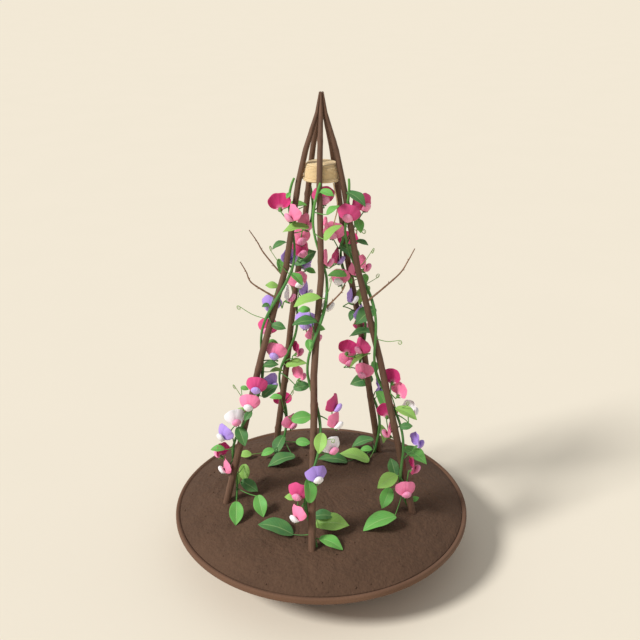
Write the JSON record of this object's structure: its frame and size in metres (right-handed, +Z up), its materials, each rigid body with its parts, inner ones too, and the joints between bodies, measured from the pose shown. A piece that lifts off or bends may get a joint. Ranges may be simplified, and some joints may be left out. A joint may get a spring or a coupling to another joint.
{
  "type": "potted sweet pea",
  "caption": "Sweet pea climbing a wigwam of slim rods tied with twine, planted in a wide shallow clay bowl heaped with soil.",
  "frame": {"origin": "centre of the bowl's foot, on the surface that it stands on", "axes": "+Z up along the wigwam; -Y is the front, where one rod stands before the others"},
  "size_m": [0.624, 0.624, 0.9702],
  "materials": {
    "clay": "matte",
    "soil": "matte",
    "bark": "matte",
    "twine": "matte",
    "green": "satin",
    "magenta": "matte",
    "pink": "matte",
    "lavender": "matte",
    "white": "matte"
  },
  "bodies": {
    "root": {"bowl": "clay", "soil": "soil", "rod_front": "bark", "rod_left": "bark", "rod_backLeft": "bark", "rod_backRight": "bark", "rod_right": "bark", "twine_coil": "twine", "twine_tail": "twine", "vine_front": "green", "vine_left": "green", "vine_backLeft": "green", "vine_backRight": "green", "vine_right": "green", "spray_front_1": "magenta", "spray_front_2": "pink", "spray_front_3": "white", "spray_front_4": "lavender", "spray_front_5": "magenta", "spray_front_6": "white", "spray_front_7": "lavender", "spray_front_8": "magenta", "spray_left_1": "magenta", "spray_left_2": "lavender", "spray_left_3": "white", "spray_left_4": "lavender", "spray_left_5": "magenta", "spray_left_6": "pink", "spray_left_7": "lavender", "spray_left_8": "magenta", "spray_left_9": "white", "spray_left_10": "magenta", "spray_backLeft_1": "pink", "spray_backLeft_2": "magenta", "spray_backLeft_3": "lavender", "spray_backLeft_4": "pink", "spray_backLeft_5": "magenta", "spray_backLeft_6": "pink", "spray_backLeft_7": "magenta", "spray_backLeft_8": "pink", "spray_backRight_1": "pink", "spray_backRight_2": "magenta", "spray_backRight_3": "pink", "spray_backRight_4": "pink", "spray_backRight_5": "lavender", "spray_backRight_6": "lavender", "spray_backRight_7": "magenta", "spray_backRight_8": "magenta", "spray_backRight_9": "pink", "spray_backRight_10": "pink", "spray_backRight_11": "lavender", "spray_right_1": "magenta", "spray_right_2": "magenta", "spray_right_3": "pink", "spray_right_4": "magenta", "spray_right_5": "white", "spray_right_6": "magenta", "spray_right_7": "lavender", "spray_right_8": "magenta"}
  },
  "joints": []
}
